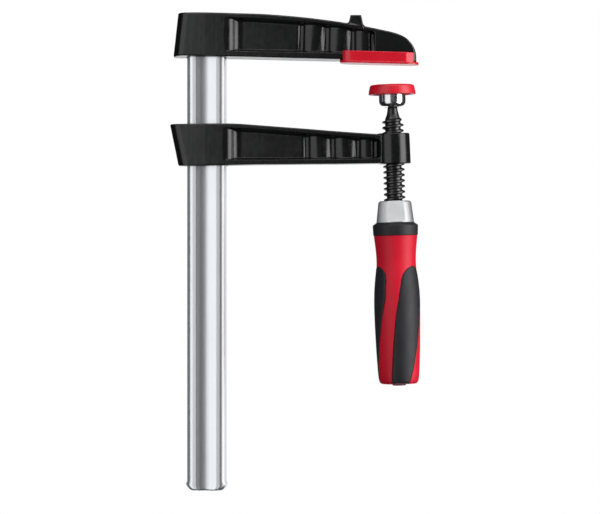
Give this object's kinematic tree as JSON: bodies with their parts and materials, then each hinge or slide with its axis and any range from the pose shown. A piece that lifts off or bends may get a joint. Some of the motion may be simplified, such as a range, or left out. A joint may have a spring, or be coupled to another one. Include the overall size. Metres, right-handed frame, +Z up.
{
  "type": "f clamp",
  "caption": "Screw clamp: a fixed iron arm on a grooved steel rail, a sliding arm, a threaded spindle with a swivel plate and a two-material handle.",
  "frame": {"origin": "centre of the rail's section at its free lower end face", "axes": "+Z up the rail to the fixed arm, +X out along the arms to the spindle, +Y across the rail's thickness, completing the right-handed set"},
  "size_m": [0.1802, 0.034, 0.3449],
  "materials": {
    "drawn_steel": "bright drawn, zinc plated, lengthwise streaks",
    "black_iron": "semi-gloss black coat on a cast surface",
    "red_plastic": "smooth satin",
    "handle_red": "satin moulded",
    "soft_black": "matte soft-touch",
    "black_oxide_steel": "rolled, black oxide",
    "plated_steel": "bright plated",
    "spring_steel": "bright spring wire",
    "satin_zinc": "satin"
  },
  "bodies": {
    "rail_assembly": {"rail": "drawn_steel", "fixed_arm": "black_iron", "jaw_pad": "red_plastic"},
    "sliding_arm": {"sliding_arm": "black_iron"},
    "ball_carrier": {"ball_snap_ring": "spring_steel"},
    "spindle_assembly": {"spindle": "black_oxide_steel", "ferrule": "satin_zinc", "handle_collar": "soft_black", "handle_core": "handle_red", "grip_panel_1": "soft_black", "grip_panel_2": "soft_black", "grip_panel_3": "soft_black", "handle_end_plug": "soft_black"},
    "swivel_plate": {"pressure_plate": "plated_steel", "plate_cap": "red_plastic"}
  },
  "joints": [
    {"name": "arm_slide", "type": "slide", "parent": "rail_assembly", "child": "sliding_arm", "axis": [0, 0, 1], "range_m": [-0.228, 0]},
    {"name": "screw_feed", "type": "slide", "parent": "sliding_arm", "child": "ball_carrier", "axis": [-0.0244, 0, 0.9997], "range_m": [-0.01601, 0.01101]},
    {"name": "screw_turn", "type": "hinge", "parent": "ball_carrier", "child": "spindle_assembly", "pos_m": [0.13408, 0, 0.283], "axis": [-0.0244, 0, 0.9997], "range_deg": [-1440, 990]},
    {"name": "plate_tilt", "type": "hinge", "parent": "ball_carrier", "child": "swivel_plate", "pos_m": [0.13408, 0, 0.283], "axis": [0, 1, 0], "range_deg": [-12, 12]}
  ],
  "couplings": [
    {"joint": "screw_feed", "follows": "screw_turn", "m_per_rad": 0.00063662}
  ]
}
